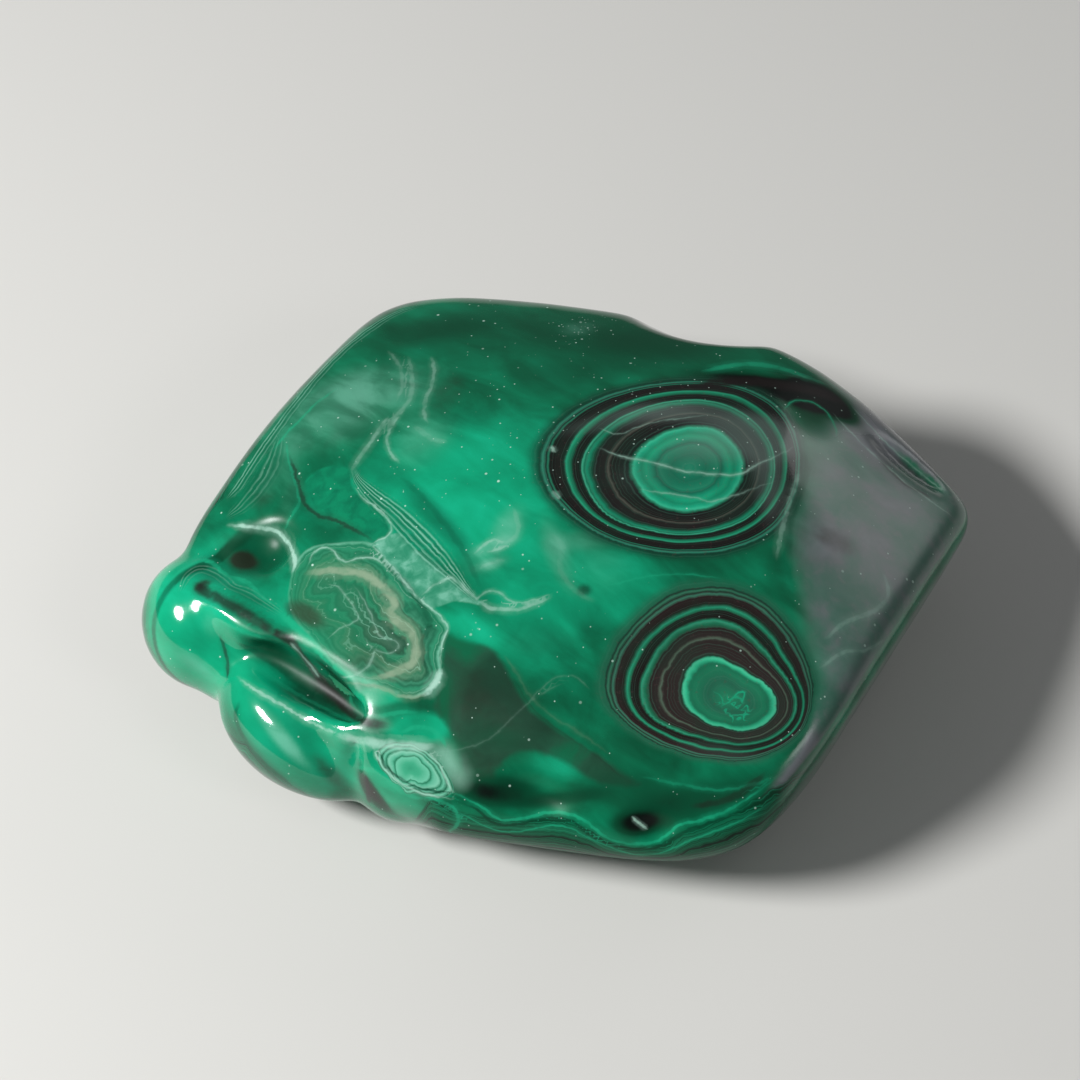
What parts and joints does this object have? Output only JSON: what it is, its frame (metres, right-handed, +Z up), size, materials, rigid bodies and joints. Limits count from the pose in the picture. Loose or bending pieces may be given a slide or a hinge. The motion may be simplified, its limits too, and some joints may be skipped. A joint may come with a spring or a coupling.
{
  "type": "polished malachite specimen",
  "caption": "Polished malachite nodule with broad ground faces, a pointed end, a lobed end with a grooved mouth, and a flat base to rest on; a display stone.",
  "frame": {"origin": "middle of the stone's box in plan, on the surface that it rests on", "axes": "+X along the stone to its pointed end, +Y away from the viewer, +Z up"},
  "size_m": [0.0924, 0.0742, 0.0272],
  "materials": {
    "malachite": "polished stone, clear gloss over banded green"
  },
  "bodies": {
    "root": {"malachite": "malachite"}
  },
  "joints": []
}
